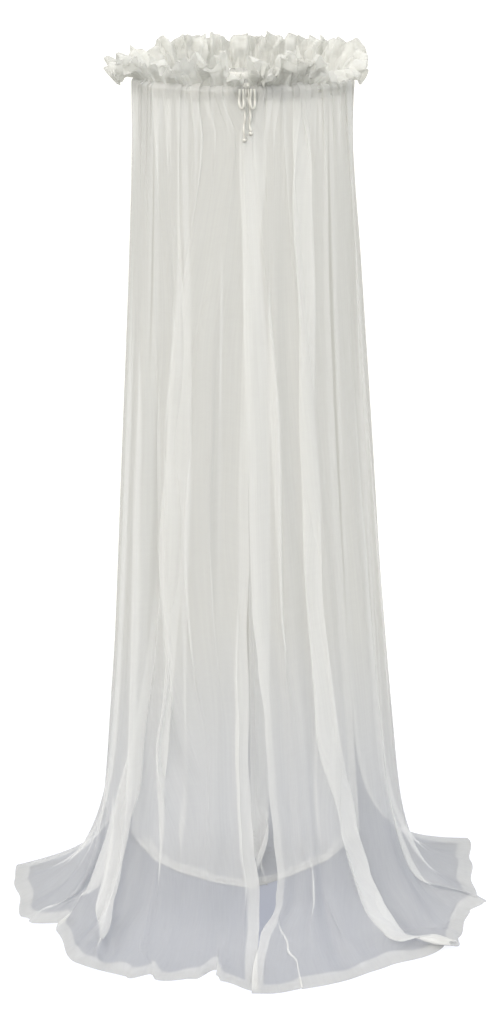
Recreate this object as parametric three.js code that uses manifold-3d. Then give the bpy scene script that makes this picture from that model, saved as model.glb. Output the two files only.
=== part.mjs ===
// Bed crown canopy: a sheer voile veil in three drops, hung from a round hoop.
//
// The hoop is two half rings of steel rod, pushed into two moulded sleeves. Each drop of cloth has a
// casing that is threaded on the hoop, a ruffled frill that stands above the casing, and a panel that
// hangs to the floor and spreads on it. A drawcord runs round the hoop inside the casings and is tied
// in a bow at the front, where the two curtains meet.
//
// Millimetres, +Z up. The origin is the centre of the hoop, and the front faces -Y. Angles are in
// degrees, counted from +X towards +Y, so the front is at 270.

import * as THREE from 'three';
import Module from 'manifold-3d';
import { mergeVertices } from 'three/addons/utils/BufferGeometryUtils.js';

const wasm = await Module();
wasm.setup();

// Gaps that keep neighbouring pieces apart
const fitGap = 0.3;
const cutOverrun = 5;

// Hoop, its sleeves and the drawcord
const hoopRadius = 160;
const rodDiameter = 6;
const rodEndGap = 1;
const sleeveLength = 36;
const sleeveWall = 1.8;
const sleeveChamfer = 1.6;
const cordDiameter = 3.5;
const seamDeg = 272.6;

// Casing, which closes round the hoop and the cord
const casingWall = 1;
const casingSlackWidth = 1.6;
const casingHeight = 20;
const casingPleatDepth = 1.1;
const frontGap = 9;
const rearGap = 1.2;
const leftRearDeg = 146;
const rightRearDeg = 36;

// Frill above the casing
const frillHeight = 53;
const frillThickness = 1.4;
const frillRuffleDepth = 8;
const frillPitch = 31;

// Panels
const dropHeight = 1388.5;
const panelThickness = 1.6;
const hemThickness = 2.4;
const bottomHemWidth = 28;
const sideHemWidth = 18;
const panelWidth = 700;
const footRadius = 240;
const rightSpreadWidth = 30;
const flarePower = 1.3;
const hemReach = 390;
const frontBendHeight = 30;
const sideBendHeight = 80;
const backBendHeight = 34;
const topFoldDepth = 4;
const panelFoldDepth = 12;
const ridgeDepth = 15;
const floorRidgeHeight = 11;
const frontLapDepth = 3.5;
const frillClearance = 0.4;
const panelTuckHeight = 0.3;

// Bow
const knotWidth = 11;
const knotHeight = 9;
const knotDepth = 8;
const knotRise = 14;
const bowStandoff = 1.5;
const loopLength = 29;
const loopWidth = 11;
const loopSpread = 8.5;
const tailKnotDiameter = 6.5;

// The tails of the bow, from the knot down: steps to the side, outwards and up
const leftTailPoints = [
  [-1.9, -1.2, -4.8], [-2.4, -0.2, -16], [-3.4, 0.4, -32], [-3, 0.8, -50], [-5, 1.2, -66], [-3.6, 1.6, -78],
];
const rightTailPoints = [
  [1.9, -1.2, -4.8], [2.6, -0.2, -16], [4, 0.4, -30], [5.4, 0.8, -44], [4.2, 1.2, -57], [5.6, 1.6, -68],
];

// Counts
const rodSides = 8;
const rodSteps = 30;
const cordSides = 8;
const cordSteps = 44;
const loopSteps = 16;
const tailSteps = 12;
const casingSides = 8;
const casingSteps = 28;
const panelColumns = 48;
const panelFolds = 8;
const ruffleSteps = 4;
const frillRows = 3;
const knotSides = [12, 8];
const tailKnotSides = [10, 7];

// Shares of a panel's length at which it has a row of points, closer where it bends on the floor
const rowShares = [0, 0.03, 0.075, 0.22, 0.45, 0.66, 0.81, 0.88, 0.92, 0.955, 1];

// How far each panel's hem lies from the hoop's axis: angle in degrees, share of hemReach
const leftHemShares = [
  [168, 1.03], [180, 1.03], [196, 1.01], [203, 0.98], [207, 0.88], [212, 0.93], [226, 1.01],
  [242, 0.98], [245.6, 0.92], [249, 0.95], [257.5, 0.9], [261.5, 0.82], [265.5, 0.92], [272.1, 0.99],
];
const rightHemShares = [
  [272.7, 1], [290, 0.985], [309, 0.98], [321, 1.04], [327, 1.085], [332, 1.06], [341, 1.03],
  [345.5, 1.035], [350, 1.085], [354.5, 1.05], [362, 1.035], [373, 1.08], [385, 1.17],
];

// The back drape's hem, turned in under the canopy: share of the width, then x and y as shares of hemReach
const backHemShares = [
  [0, 0.45, 0.33], [0.25, 0.24, 0.12], [0.4, 0.1, -0.01], [0.48, 0.02, -0.045], [0.56, -0.05, -0.02],
  [0.66, -0.165, 0.07], [0.8, -0.3, 0.19], [1, -0.47, 0.43],
];

// The angle of each front edge on its way down: share of the drop, then degrees
const leftEdgeShares = [
  [0, 271], [0.06, 283.5], [0.17, 279.6], [0.3, 275.4], [0.45, 273.1], [0.62, 272.4], [0.76, 269.6],
  [1, 269.5],
];
const rightEdgeShares = [
  [0, 274.2], [0.06, 268.6], [0.2, 270.6], [0.45, 273.2], [0.61, 273.8], [0.7, 277], [0.8, 280.5],
  [0.9, 277.5], [1, 271.8],
];

// Share of a drop's width, in the order of its casing's angles, then share of the casing's arc that it
// gathers into
const evenShares = [[0, 0], [1, 1]];
const rightGatherShares = [[0, 0], [0.47, 0.28], [1, 1]];

// How far over the frill's edge leans outwards: degrees round the hoop, then degrees from upright
const frillLean = [
  [36, 34], [70, 16], [92, 14], [102, 56], [112, 14], [132, 34], [146, 76], [170, 122], [192, 128],
  [210, 84], [230, 26], [250, 46], [268, 30], [284, 60], [298, 30], [312, 96], [326, 84], [340, 44],
  [362, 66], [382, 52], [396, 34],
];

// Shares that shape the folds: over how much of its width a curtain's edge swings and loses its folds, and
// how far down the folds and ridges are at their full depth
const edgeSwingShare = 0.3;
const edgeFlatShare = 0.14;
const foldDepthShare = 0.8;
const ridgeDepthShare = 0.5;
const lapEndShare = 0.6;
const lapFadeShare = 0.2;
const smallFoldShare = 0.2;
const smallFoldRate = 2.5;
const frillRootShare = 0.12;
const frillDriftShare = 0.6;
const exitBendShare = 0.4;
const loopNarrowShare = 0.45;
const loopRoundness = 0.7;

// Small helpers

const toRadians = THREE.MathUtils.degToRad;
const mix = THREE.MathUtils.lerp;
const clamp = THREE.MathUtils.clamp;

function ease(t) {
  const c = clamp(t, 0, 1);
  return c * c * (3 - 2 * c);
}

// A point at a radius and an angle round the hoop's axis
function around(radius, degrees, z) {
  const a = toRadians(degrees);
  return new THREE.Vector3(radius * Math.cos(a), radius * Math.sin(a), z);
}

// The value in one column of a table, eased between its rows, at a place in its first column
function readTable(rows, place, column = 1) {
  if (place <= rows[0][0]) return rows[0][column];
  for (let i = 1; i < rows.length; i += 1) {
    const [low, high] = [rows[i - 1], rows[i]];
    if (place <= high[0]) {
      return mix(low[column], high[column], ease((place - low[0]) / (high[0] - low[0])));
    }
  }
  return rows[rows.length - 1][column];
}

// As readTable, with straight lines between the rows
function readLine(rows, place) {
  for (let i = 1; i < rows.length; i += 1) {
    const [low, high] = [rows[i - 1], rows[i]];
    if (place <= high[0]) return mix(low[1], high[1], (place - low[0]) / (high[0] - low[0]));
  }
  return rows[rows.length - 1][1];
}

// The degrees that a length takes up on a circle
function arcDegrees(length, radius) {
  return THREE.MathUtils.radToDeg(length / radius);
}

function meshOf(positions, index) {
  const geometry = new THREE.BufferGeometry();
  geometry.setAttribute('position', new THREE.Float32BufferAttribute(positions, 3));
  geometry.setIndex(index);
  geometry.computeVertexNormals();
  return geometry;
}

// A closed body from a grid of points on each of its two faces. Row i and column j of front lie over the
// same of back. The borders are closed between them, except where the columns run round a tube.
function shellGeometry(front, back, isTube = false) {
  const rows = front.length;
  const columns = front[0].length;
  const positions = [];
  for (const grid of [front, back]) {
    for (const row of grid) {
      for (const p of row) positions.push(p.x, p.y, p.z);
    }
  }
  const at = (side, i, j) => side * rows * columns + i * columns + (j % columns);
  const index = [];
  const quad = (a, b, c, d) => index.push(a, b, c, a, c, d);
  const columnSpans = isTube ? columns : columns - 1;
  const [lastRow, lastColumn] = [rows - 1, columns - 1];
  for (let j = 0; j < columnSpans; j += 1) {
    for (let i = 0; i < lastRow; i += 1) {
      quad(at(0, i, j), at(0, i + 1, j), at(0, i + 1, j + 1), at(0, i, j + 1));
      quad(at(1, i, j), at(1, i, j + 1), at(1, i + 1, j + 1), at(1, i + 1, j));
    }
    quad(at(0, 0, j), at(0, 0, j + 1), at(1, 0, j + 1), at(1, 0, j));
    quad(at(0, lastRow, j), at(1, lastRow, j), at(1, lastRow, j + 1), at(0, lastRow, j + 1));
  }
  for (let i = 0; i < lastRow && !isTube; i += 1) {
    quad(at(0, i, 0), at(1, i, 0), at(1, i + 1, 0), at(0, i + 1, 0));
    quad(at(0, i, lastColumn), at(0, i + 1, lastColumn), at(1, i + 1, lastColumn), at(1, i, lastColumn));
  }
  return meshOf(positions, index);
}

// A solid bar of round section along a list of points, with a flat end at each. Each section is turned
// as little as it can be from the one before.
function barGeometry(points, radius, sides) {
  const positions = [];
  const index = [];
  const upright = new THREE.Vector3(0, 0, 1);
  let across = null;
  points.forEach((p, i) => {
    const before = points[Math.max(i - 1, 0)];
    const after = points[Math.min(i + 1, points.length - 1)];
    const along = after.clone().sub(before).normalize();
    across = across || new THREE.Vector3().crossVectors(along, upright);
    across.addScaledVector(along, -across.dot(along)).normalize();
    const up = new THREE.Vector3().crossVectors(across, along);
    for (let k = 0; k < sides; k += 1) {
      const a = (2 * Math.PI * (k + 0.5)) / sides;
      const q = p.clone().addScaledVector(across, radius * Math.cos(a));
      q.addScaledVector(up, radius * Math.sin(a));
      positions.push(q.x, q.y, q.z);
    }
  });
  for (let i = 0; i < points.length - 1; i += 1) {
    for (let k = 0; k < sides; k += 1) {
      const a = i * sides + k;
      const b = i * sides + ((k + 1) % sides);
      index.push(a, b + sides, b, a, a + sides, b + sides);
    }
  }
  const end = (points.length - 1) * sides;
  for (let k = 1; k < sides - 1; k += 1) {
    index.push(0, k, k + 1, end, end + k + 1, end + k);
  }
  return meshOf(positions, index);
}

function asSolid(geometry) {
  const bare = geometry.clone();
  bare.deleteAttribute('normal');
  if (bare.hasAttribute('uv')) bare.deleteAttribute('uv');
  const merged = mergeVertices(bare);
  return new wasm.Manifold(new wasm.Mesh({
    numProp: 3,
    vertProperties: new Float32Array(merged.attributes.position.array),
    triVerts: new Uint32Array(merged.index.array),
  }));
}

function asGeometry(solid) {
  const mesh = solid.getMesh();
  return meshOf(mesh.vertProperties, Array.from(mesh.triVerts));
}

// Materials

const voile = new THREE.MeshStandardMaterial({ color: 0xe6e6e2, roughness: 0.95, metalness: 0 });
const hemmed = new THREE.MeshStandardMaterial({ color: 0xf0f0ee, roughness: 0.95, metalness: 0 });
const cotton = new THREE.MeshStandardMaterial({ color: 0xf2f1ed, roughness: 0.9, metalness: 0 });
const coatedSteel = new THREE.MeshStandardMaterial({ color: 0xf4f4f2, roughness: 0.4, metalness: 0 });
const nylon = new THREE.MeshStandardMaterial({ color: 0xeeeeea, roughness: 0.5, metalness: 0 });

const canopy = new THREE.Group();

function add(name, geometry, material) {
  const mesh = new THREE.Mesh(geometry, material);
  mesh.name = name;
  canopy.add(mesh);
  return mesh;
}

// Hoop: two half rings that meet inside the sleeves

const rodRadius = rodDiameter / 2;
const halfTurn = 180;
const fullTurn = 2 * halfTurn;
const seams = [seamDeg - halfTurn, seamDeg];
const endDegrees = arcDegrees(rodEndGap / 2, hoopRadius);

function arcPoints(radius, from, to, steps) {
  return Array.from({ length: steps + 1 }, (_, i) => around(radius, mix(from, to, i / steps), 0));
}

function halfRing(from) {
  const points = arcPoints(hoopRadius, from + endDegrees, from + halfTurn - endDegrees, rodSteps);
  return barGeometry(points, rodRadius, rodSides);
}

add('hoop_left_half', halfRing(seams[0]), coatedSteel);
add('hoop_right_half', halfRing(seams[1]), coatedSteel);

// Sleeves: straight moulded blocks, bored along the hoop's curve

const boreRadius = rodRadius + fitGap;
const sleeveSag = hoopRadius - Math.sqrt(hoopRadius ** 2 - (sleeveLength / 2) ** 2);
const sleeveInner = hoopRadius - boreRadius - sleeveSag - sleeveWall;
const sleeveOuter = hoopRadius + boreRadius + sleeveWall;
const sleeveHeight = 2 * (boreRadius + sleeveWall);

function sleeveGeometry(degrees) {
  const [w, h, c] = [(sleeveOuter - sleeveInner) / 2, sleeveHeight / 2, sleeveChamfer];
  const outline = new THREE.Shape();
  outline.moveTo(-w + c, -h);
  outline.lineTo(w - c, -h);
  outline.lineTo(w, -h + c);
  outline.lineTo(w, h - c);
  outline.lineTo(w - c, h);
  outline.lineTo(-w + c, h);
  outline.lineTo(-w, h - c);
  outline.lineTo(-w, -h + c);
  outline.closePath();
  const block = new THREE.ExtrudeGeometry(outline, { depth: sleeveLength, bevelEnabled: false });
  block.translate(0, 0, -sleeveLength / 2);
  block.rotateX(Math.PI / 2);
  block.translate((sleeveInner + sleeveOuter) / 2, 0, 0);
  block.rotateZ(toRadians(degrees));
  const reach = arcDegrees(sleeveLength / 2 + cutOverrun, hoopRadius);
  const boreLine = arcPoints(hoopRadius, degrees - reach, degrees + reach, rodSides);
  const bore = barGeometry(boreLine, boreRadius, rodSides);
  return asGeometry(asSolid(block).subtract(asSolid(bore)));
}

add('hoop_back_sleeve', sleeveGeometry(seams[0]), nylon);
add('hoop_front_sleeve', sleeveGeometry(seams[1]), nylon);

// Drawcord: once round the hoop outside the sleeves, its two ends out through the gap at the front

const cordRadius = cordDiameter / 2;
const cordRingRadius = Math.hypot(sleeveOuter, sleeveLength / 2) + fitGap + cordRadius;
const casingInnerLow = sleeveInner - fitGap - casingSlackWidth;
const casingInnerHigh = cordRingRadius + cordRadius + fitGap + casingSlackWidth;
const casingCentre = (casingInnerLow + casingInnerHigh) / 2;
const casingHalfWidth = (casingInnerHigh - casingInnerLow) / 2;
const casingHalfHeight = casingHeight / 2;
const casingOuterRadius = casingInnerHigh + casingWall + casingPleatDepth;

const bowRadius = casingOuterRadius + bowStandoff + knotDepth / 2;
const cordExitDegrees = arcDegrees(cordDiameter / 2 + fitGap, cordRingRadius);
const cordTurn = 2 * cordDiameter;

function drawcordPoints() {
  const turnDegrees = arcDegrees(cordTurn, cordRingRadius);
  const knotBack = bowRadius - knotDepth / 2 - fitGap;
  const exit = (degrees) => [
    around(knotBack, degrees, knotRise),
    around(mix(cordRingRadius, knotBack, exitBendShare), degrees, knotRise - cordRadius / 3),
    around(cordRingRadius, degrees, knotRise - cordDiameter),
    around(cordRingRadius, degrees, cordTurn / 2),
  ];
  const from = seamDeg + cordExitDegrees;
  const to = seamDeg + fullTurn - cordExitDegrees;
  return [
    ...exit(from),
    around(cordRingRadius, from + turnDegrees / 4, cordTurn / 7),
    ...arcPoints(cordRingRadius, from + turnDegrees, to - turnDegrees, cordSteps),
    around(cordRingRadius, to - turnDegrees / 4, cordTurn / 7),
    ...exit(to).reverse(),
  ];
}

add('drawcord', barGeometry(drawcordPoints(), cordRadius, cordSides), cotton);

// The three drops

const frontHalfGap = arcDegrees(frontGap / 2, casingCentre);
const rearHalfGap = arcDegrees(rearGap / 2, casingCentre);

const drops = {
  left: {
    casing: [leftRearDeg + rearHalfGap, seamDeg - frontHalfGap],
    foot: [149, 269.5],
    hem: [169, 272.1],
    hemShares: leftHemShares,
    gatherShares: evenShares,
    edge: { at: 1, shares: leftEdgeShares, lap: -frontLapDepth },
    ridges: [[0.33, 0.05], [0.74, 0.03]],
    phase: 0.2,
  },
  right: {
    casing: [seamDeg + frontHalfGap, rightRearDeg + fullTurn - rearHalfGap],
    foot: [271.8, 395],
    hem: [272.7, 385],
    hemShares: rightHemShares,
    gatherShares: rightGatherShares,
    edge: { at: 0, shares: rightEdgeShares, lap: frontLapDepth },
    ridges: [[0.47, 0.05], [0.68, 0.03]],
    phase: 0.15,
  },
  back: {
    casing: [rightRearDeg + rearHalfGap, leftRearDeg - rearHalfGap],
    foot: [37, 139],
    gatherShares: evenShares,
    ridges: [],
    phase: 0.4,
  },
};

const casingTop = casingHalfHeight + casingPleatDepth;
const panelTop = panelTuckHeight - casingTop;
const panelTopRadius = casingOuterRadius - topFoldDepth - panelThickness;

function footRadiusAt(degrees) {
  return footRadius + rightSpreadWidth * Math.max(0, Math.cos(toRadians(degrees))) ** 2;
}

function foldReach(drop, width) {
  // Folds die out towards a curtain's front edge, so that the two edges can pass each other
  const near = drop.edge ? Math.abs(width - drop.edge.at) : 1;
  return ease(near / edgeFlatShare);
}

// One thread of a panel from the casing to the hem, before folds: points with their angle and how far
// along the floor run they are, and the length down to each
const lineSteps = 60;
const floorRunStart = 0.6;
const landing = 4;

function threadLine(drop, width) {
  const topDegrees = mix(drop.casing[0], drop.casing[1], readLine(drop.gatherShares, width));
  const footDegrees = mix(drop.foot[0], drop.foot[1], width);
  const side = drop.hem ? Math.abs(Math.cos(toRadians(footDegrees))) : 0;
  const bend = drop.hem ? mix(frontBendHeight, sideBendHeight, side ** 2) : backBendHeight;
  const swing = drop.edge ? ease(1 - Math.abs(width - drop.edge.at) / edgeSwingShare) : 0;
  const edgeTop = drop.edge ? drop.casing[drop.edge.at] : 0;
  const edgeFoot = drop.edge ? drop.foot[drop.edge.at] : 0;
  const footReach = footRadiusAt(footDegrees);
  const foot = around(footReach, footDegrees, 0);
  const hemDegrees = drop.hem ? mix(drop.hem[0], drop.hem[1], width) : 0;
  const hem = drop.hem
    ? around(hemReach * readTable(drop.hemShares, hemDegrees), hemDegrees, 0)
    : new THREE.Vector3(
      hemReach * readTable(backHemShares, width, 1), hemReach * readTable(backHemShares, width, 2), 0,
    );
  const run = hem.clone().sub(foot);
  const height = dropHeight + panelTop;
  const first = 1 - 1 / floorRunStart;
  const last = height / bend;
  const points = [];
  for (let i = 0; i <= lineSteps; i += 1) {
    const x = mix(last, first, 1 - (1 - i / lineSteps) ** 3);
    const h = Math.min((bend * Math.log1p(Math.exp(landing * x))) / landing, height);
    const floorShare = x > 0 ? floorRunStart * Math.exp(-x) : floorRunStart * (1 - x);
    const depth = 1 - h / height;
    const drift = drop.edge
      ? readTable(drop.edge.shares, depth) - mix(edgeTop, edgeFoot, ease(depth))
      : 0;
    const degrees = mix(topDegrees, footDegrees, ease(depth)) + swing * drift;
    const lap = drop.edge ? swing * drop.edge.lap * (1 - ease((depth - lapEndShare) / lapFadeShare)) : 0;
    const p = around(mix(panelTopRadius, footReach, depth ** flarePower) + lap, degrees, h - dropHeight);
    p.x += run.x * floorShare;
    p.y += run.y * floorShare;
    points.push({ p, degrees, floorShare, depth });
  }
  let walked = 0;
  points.forEach((q, i) => {
    walked += i ? q.p.distanceTo(points[i - 1].p) : 0;
    q.walked = walked;
  });
  return points;
}

const lines = new Map();

function lineAt(drop, width) {
  const key = `${drop.phase} ${width.toFixed(7)}`;
  if (!lines.has(key)) lines.set(key, threadLine(drop, width));
  return lines.get(key);
}

// A point of a panel: width and length are shares of the cloth
function clothPoint(drop, width, length) {
  const line = lineAt(drop, width);
  const goal = length * line[line.length - 1].walked;
  let i = 1;
  while (i < line.length - 1 && line[i].walked < goal) i += 1;
  const [low, high] = [line[i - 1], line[i]];
  const t = (goal - low.walked) / (high.walked - low.walked);
  const p = low.p.clone().lerp(high.p, t);
  const degrees = mix(low.degrees, high.degrees, t);
  const floorShare = clamp(mix(low.floorShare, high.floorShare, t), 0, 1);
  const depth = mix(low.depth, high.depth, t);
  const turn = 2 * Math.PI * (panelFolds * width + drop.phase);
  const wave = mix(Math.cos(turn), Math.cos(smallFoldRate * turn + 1), smallFoldShare);
  const reach = foldReach(drop, width);
  const deep = mix(topFoldDepth, panelFoldDepth, ease(depth / foldDepthShare)) * reach;
  let out = deep * wave;
  let rise = floorRidgeHeight * (1 + wave) * reach;
  for (const [place, spread] of drop.ridges) {
    const bump = Math.exp(-(((width - place) / spread) ** 2));
    out += ridgeDepth * bump * ease(depth / ridgeDepthShare);
    rise += floorRidgeHeight * bump;
  }
  out *= (1 - floorShare) ** 2;
  rise *= 2 * floorShare * (1 - floorShare);
  p.add(around(out, degrees, rise));
  return p;
}

function clothNormal(drop, width, length) {
  const d = 0.002;
  const [w0, w1] = [Math.max(width - d, 0), Math.min(width + d, 1)];
  const [l0, l1] = [Math.max(length - d, 0), Math.min(length + d, 1)];
  const across = clothPoint(drop, w1, length).sub(clothPoint(drop, w0, length));
  const down = clothPoint(drop, width, l1).sub(clothPoint(drop, width, l0));
  return down.cross(across).normalize();
}

function clothLength(drop, width) {
  const line = lineAt(drop, width);
  return line[line.length - 1].walked;
}

// A piece of a panel between two shares of its width, with its rows at shares of its length. Its lower
// face never goes under the floor.
function clothPatch(drop, widths, lengthsAt, thickness) {
  const rowCount = lengthsAt(widths[0]).length;
  const front = [];
  const back = [];
  for (let i = 0; i < rowCount; i += 1) {
    front.push([]);
    back.push([]);
    for (const width of widths) {
      const length = lengthsAt(width)[i];
      const p = clothPoint(drop, width, length);
      const n = clothNormal(drop, width, length).multiplyScalar(thickness / 2);
      p.z = Math.max(p.z, -dropHeight + Math.abs(n.z));
      front[i].push(p.clone().add(n));
      back[i].push(p.clone().sub(n));
    }
  }
  return shellGeometry(front, back);
}

function spread(from, to, steps) {
  return Array.from({ length: steps + 1 }, (_, i) => mix(from, to, i / steps));
}

// Panel and hems of one drop. The hems are the edges of the cloth, turned over twice and sewn.
const sideShare = sideHemWidth / panelWidth;
const gapShare = (2 * fitGap) / panelWidth;

function panelOf(side, names) {
  const drop = drops[side];
  const middle = spread(sideShare + gapShare, 1 - sideShare - gapShare, panelColumns);
  const hemStart = (width) => 1 - bottomHemWidth / clothLength(drop, width);
  const hemGap = (width) => (2 * fitGap) / clothLength(drop, width);
  const bodyRows = (width) => rowShares.map((share) => share * (hemStart(width) - hemGap(width)));
  const hemRows = (width) => [hemStart(width), 1];
  add(names.panel, clothPatch(drop, middle, bodyRows, panelThickness), voile);
  add(names.low, clothPatch(drop, spread(0, sideShare, 1), bodyRows, hemThickness), hemmed);
  add(names.high, clothPatch(drop, spread(1 - sideShare, 1, 1), bodyRows, hemThickness), hemmed);
  const whole = [0, sideShare, ...middle, 1 - sideShare, 1];
  add(names.bottom, clothPatch(drop, whole, hemRows, hemThickness), hemmed);
}

panelOf('left', {
  panel: 'left_curtain', low: 'left_rear_hem', high: 'left_leading_hem', bottom: 'left_bottom_hem',
});
panelOf('right', {
  panel: 'right_curtain', low: 'right_leading_hem', high: 'right_rear_hem', bottom: 'right_bottom_hem',
});
panelOf('back', {
  panel: 'back_drape', low: 'back_right_hem', high: 'back_left_hem', bottom: 'back_bottom_hem',
});

// Casings: a flat tube of cloth, drawn up in small pleats

function casingGeometry([from, to]) {
  const ring = (i, wide, high, pleat) => {
    const degrees = mix(from, to, i / casingSteps);
    const swell = i % 2 ? pleat : 0;
    return Array.from({ length: casingSides }, (_, k) => {
      const a = (2 * Math.PI * k) / casingSides;
      return around(casingCentre + (wide + swell) * Math.cos(a), degrees, (high + swell) * Math.sin(a));
    });
  };
  const outer = [];
  const inner = [];
  for (let i = 0; i <= casingSteps; i += 1) {
    outer.push(ring(i, casingHalfWidth + casingWall, casingHalfHeight, casingPleatDepth));
    inner.push(ring(i, casingHalfWidth, casingHalfHeight - casingWall, 0));
  }
  return shellGeometry(outer, inner, true);
}

// Frill: the cloth that stands above the casing, folded over at its top edge and ruffled

const frillRootLean = 5;
const tiny = 1e-4;
const frillFoot = casingTop + frillClearance;

function frillPoint(drop, width, height) {
  const degrees = mix(drop.casing[0], drop.casing[1], width);
  const arc = toRadians(drop.casing[1] - drop.casing[0]) * casingCentre;
  const ruffles = Math.round(arc / frillPitch);
  const start = toRadians(frillRootLean);
  const lean = mix(start, toRadians(readTable(frillLean, degrees)), height) + tiny;
  const bow = (frillHeight * height) / (lean - start);
  const turn = 2 * Math.PI * ruffles * width;
  const wave = Math.cos(turn + frillDriftShare * Math.sin(3 * toRadians(degrees)));
  const out = frillRuffleDepth * mix(frillRootShare, 1, height) * wave;
  const z = bow * (Math.sin(lean) - Math.sin(start)) - out * Math.sin(lean);
  const radius = bow * (Math.cos(start) - Math.cos(lean)) + out * Math.cos(lean);
  return around(casingCentre + radius, degrees, frillFoot + z);
}

function frillGeometry(drop) {
  const arc = toRadians(drop.casing[1] - drop.casing[0]) * casingCentre;
  const columns = Math.round(arc / frillPitch) * ruffleSteps;
  const front = [];
  const back = [];
  const d = 0.002;
  for (let i = 0; i <= frillRows; i += 1) {
    front.push([]);
    back.push([]);
    for (let j = 0; j <= columns; j += 1) {
      const [height, width] = [1 - i / frillRows, j / columns];
      const across = frillPoint(drop, width + d, height).sub(frillPoint(drop, width - d, height));
      const down = frillPoint(drop, width, height - d).sub(frillPoint(drop, width, height + d));
      const n = down.cross(across).normalize().multiplyScalar(frillThickness / 2);
      const p = frillPoint(drop, width, height);
      front[i].push(p.clone().add(n));
      back[i].push(p.clone().sub(n));
    }
  }
  return shellGeometry(front, back);
}

for (const side of ['left', 'right', 'back']) {
  add(`${side}_casing`, casingGeometry(drops[side].casing), hemmed);
  add(`${side}_frill`, frillGeometry(drops[side]), voile);
}

// Bow: knot, two loops and two tails, in front of the gap between the casings. Its places are counted
// from the knot: to the side, outwards and up.

function fromKnot([aside, out, up]) {
  const p = around(bowRadius + out, seamDeg, knotRise + up);
  const a = toRadians(seamDeg);
  return p.add(new THREE.Vector3(-Math.sin(a), Math.cos(a), 0).multiplyScalar(aside));
}

const knot = new THREE.SphereGeometry(1 / 2, ...knotSides);
knot.scale(knotDepth, knotWidth, knotHeight);
knot.rotateZ(toRadians(seamDeg));
const knotCentre = fromKnot([0, 0, 0]);
knot.translate(knotCentre.x, knotCentre.y, knotCentre.z);
add('bow_knot', knot, cotton);

function loopGeometry(side) {
  const rest = knotHeight / 2 + fitGap;
  const points = Array.from({ length: loopSteps + 1 }, (_, i) => {
    const t = i / loopSteps;
    const drop = Math.sin(Math.PI * t);
    const open = (loopWidth / 2) * Math.cos(Math.PI * t) * mix(loopNarrowShare, 1, drop);
    const down = rest + loopLength * drop ** loopRoundness;
    return fromKnot([side * (loopSpread + open), cordDiameter * drop + cordRadius, -down]);
  });
  return barGeometry(points, cordRadius, cordSides);
}

function tailGeometry(route) {
  const circle = new THREE.Shape(Array.from({ length: cordSides }, (_, k) => {
    const a = (2 * Math.PI * k) / cordSides;
    return new THREE.Vector2(cordRadius * Math.cos(a), cordRadius * Math.sin(a));
  }));
  const extrudePath = new THREE.CatmullRomCurve3(route.map(fromKnot));
  return new THREE.ExtrudeGeometry(circle, { steps: tailSteps, extrudePath, bevelEnabled: false });
}

function tailKnotGeometry(route) {
  const end = route[route.length - 1];
  const ball = new THREE.SphereGeometry(tailKnotDiameter / 2, ...tailKnotSides);
  const p = fromKnot([end[0], end[1], end[2] - tailKnotDiameter / 2 - fitGap]);
  return ball.translate(p.x, p.y, p.z);
}

for (const [side, sign, route] of [['left', -1, leftTailPoints], ['right', 1, rightTailPoints]]) {
  add(`bow_${side}_loop`, loopGeometry(sign), cotton);
  add(`bow_${side}_tail`, tailGeometry(route), cotton);
  add(`bow_${side}_tail_knot`, tailKnotGeometry(route), cotton);
}

export default canopy;
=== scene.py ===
# %% [markdown]
# # Bed crown canopy
#
# A bed crown canopy is a veil of sheer cloth that hangs from a round hoop over a bed or a cot. This
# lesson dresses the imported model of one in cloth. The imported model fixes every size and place, so each
# piece here is made where its plain solid already stands, in metres, with the hoop's centre as origin.

# %% Load the frame
import math

import bpy
import numpy as np
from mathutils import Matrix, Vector


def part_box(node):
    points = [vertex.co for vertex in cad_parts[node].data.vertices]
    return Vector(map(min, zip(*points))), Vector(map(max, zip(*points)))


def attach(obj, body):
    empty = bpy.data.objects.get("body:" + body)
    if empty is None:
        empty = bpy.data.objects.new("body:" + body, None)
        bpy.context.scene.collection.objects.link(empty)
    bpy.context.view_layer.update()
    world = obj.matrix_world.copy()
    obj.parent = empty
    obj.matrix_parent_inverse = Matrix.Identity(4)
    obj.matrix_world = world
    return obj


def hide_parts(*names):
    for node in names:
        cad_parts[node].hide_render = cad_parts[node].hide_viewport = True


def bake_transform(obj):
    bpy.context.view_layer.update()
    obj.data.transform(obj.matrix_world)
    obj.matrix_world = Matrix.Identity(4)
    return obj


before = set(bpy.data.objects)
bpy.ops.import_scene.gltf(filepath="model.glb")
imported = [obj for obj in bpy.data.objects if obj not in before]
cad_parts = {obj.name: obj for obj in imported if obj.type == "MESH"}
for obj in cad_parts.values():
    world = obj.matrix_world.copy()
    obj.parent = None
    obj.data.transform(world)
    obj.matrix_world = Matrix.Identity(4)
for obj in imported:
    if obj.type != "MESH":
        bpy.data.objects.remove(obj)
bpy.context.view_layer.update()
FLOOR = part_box("left_bottom_hem")[0][2]

# %% [markdown]
# ## Camera
#
# The veil was photographed from about eye level and 3.5 m away, looking a little down: the hoop's far
# side shows above its near side, and the floor spreads out below. A long lens keeps the sides upright.
# The camera comes first, so that every later piece can be judged in the same frame.

# %% Camera
LENS_MM = 76.7
CAMERA_PLACE = (0.0127, -3.5, 0.3185)
LOOK_DOWN_DEG = 16.3

camera_data = bpy.data.cameras.new("camera")
camera_data.lens = LENS_MM
camera = bpy.data.objects.new("camera", camera_data)
camera.location = CAMERA_PLACE
camera.rotation_euler = (math.radians(90 - LOOK_DOWN_DEG), 0, 0)
bpy.context.collection.objects.link(camera)
bpy.context.scene.camera = camera
bpy.context.scene.view_settings.view_transform = "Standard"

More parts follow.
